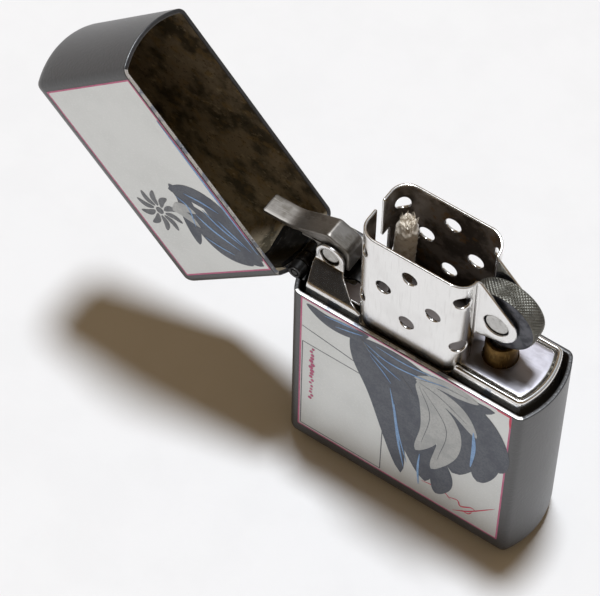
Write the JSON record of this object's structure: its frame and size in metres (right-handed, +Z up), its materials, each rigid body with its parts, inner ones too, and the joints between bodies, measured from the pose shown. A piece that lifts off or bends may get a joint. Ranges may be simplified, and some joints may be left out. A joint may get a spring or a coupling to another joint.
{
  "type": "flip-top petrol lighter",
  "caption": "Pocket petrol lighter with a hinged flip lid, a perforated wind chimney, a cam lever, a wick and a knurled striker wheel on a lift-out insert.",
  "frame": {"origin": "centre of the case's flat base", "axes": "+X from the hinge to the striker wheel, -Y out of the printed front, +Z up"},
  "size_m": [0.0783, 0.0126, 0.0628],
  "materials": {
    "black_coat": "fine-grained matte black powder coat with a satin silver-grey printed front panel",
    "polished_steel": "polished sheet steel, sooty and tarnished inside the chimney",
    "dark_steel": "hardened dark steel, fine brushed",
    "brass": "bare brass",
    "cotton": "loose cotton fibre, scorched at the wick's tip",
    "felt": "pressed wool felt",
    "flint": "grey ferrocerium rod"
  },
  "bodies": {
    "case": {"case_shell": "black_coat", "case_hinge_leaf": "dark_steel", "hinge_pin": "dark_steel"},
    "lid": {"lid_shell": "black_coat", "lid_hinge_leaf": "dark_steel"},
    "insert": {"tank_sleeve": "polished_steel", "chimney_frame": "polished_steel", "flint_tube": "brass", "cam_spring": "polished_steel", "cam_spring_rivet": "polished_steel", "cam_rivet": "polished_steel", "wheel_rivet": "polished_steel", "wick": "cotton", "cotton_ball_1": "cotton", "cotton_ball_2": "cotton", "cotton_ball_3": "cotton", "cotton_ball_4": "cotton", "cotton_ball_5": "cotton", "felt_pad": "felt", "flint_spring": "polished_steel"},
    "cam_lever": {"cam": "dark_steel"},
    "striker": {"striker_wheel": "dark_steel"},
    "flint_stack": {"flint": "flint", "flint_plunger": "brass"},
    "screw": {"flint_screw": "brass"}
  },
  "joints": [
    {"name": "lid_hinge", "type": "hinge", "parent": "case", "child": "lid", "pos_m": [-0.01875, 0, 0.03525], "axis": [0, -1, 0], "range_deg": [-133, 0]},
    {"name": "insert_lift", "type": "slide", "parent": "case", "child": "insert", "axis": [0, 0, 1], "range_m": [0, 0.036]},
    {"name": "cam_pivot", "type": "hinge", "parent": "insert", "child": "cam_lever", "pos_m": [-0.01465, 0, 0.0401], "axis": [0, -1, 0], "range_deg": [-70, 0]},
    {"name": "striker_spin", "type": "hinge", "parent": "insert", "child": "striker", "pos_m": [0.0102, 0, 0.0457], "axis": [0, 1, 0], "continuous": true},
    {"name": "flint_slide", "type": "slide", "parent": "insert", "child": "flint_stack", "axis": [0, 0, 1], "range_m": [-0.0015, 0], "stiffness_N_per_m": 300, "springref_m": 0.004, "deforming": ["flint_spring"]},
    {"name": "screw_turn", "type": "hinge", "parent": "insert", "child": "screw", "pos_m": [0.0102, 0, 0.003], "axis": [0, 0, 1], "continuous": true}
  ],
  "couplings": [
    {"joint": "cam_pivot", "follows": "lid_hinge", "ratio": 0.515}
  ]
}
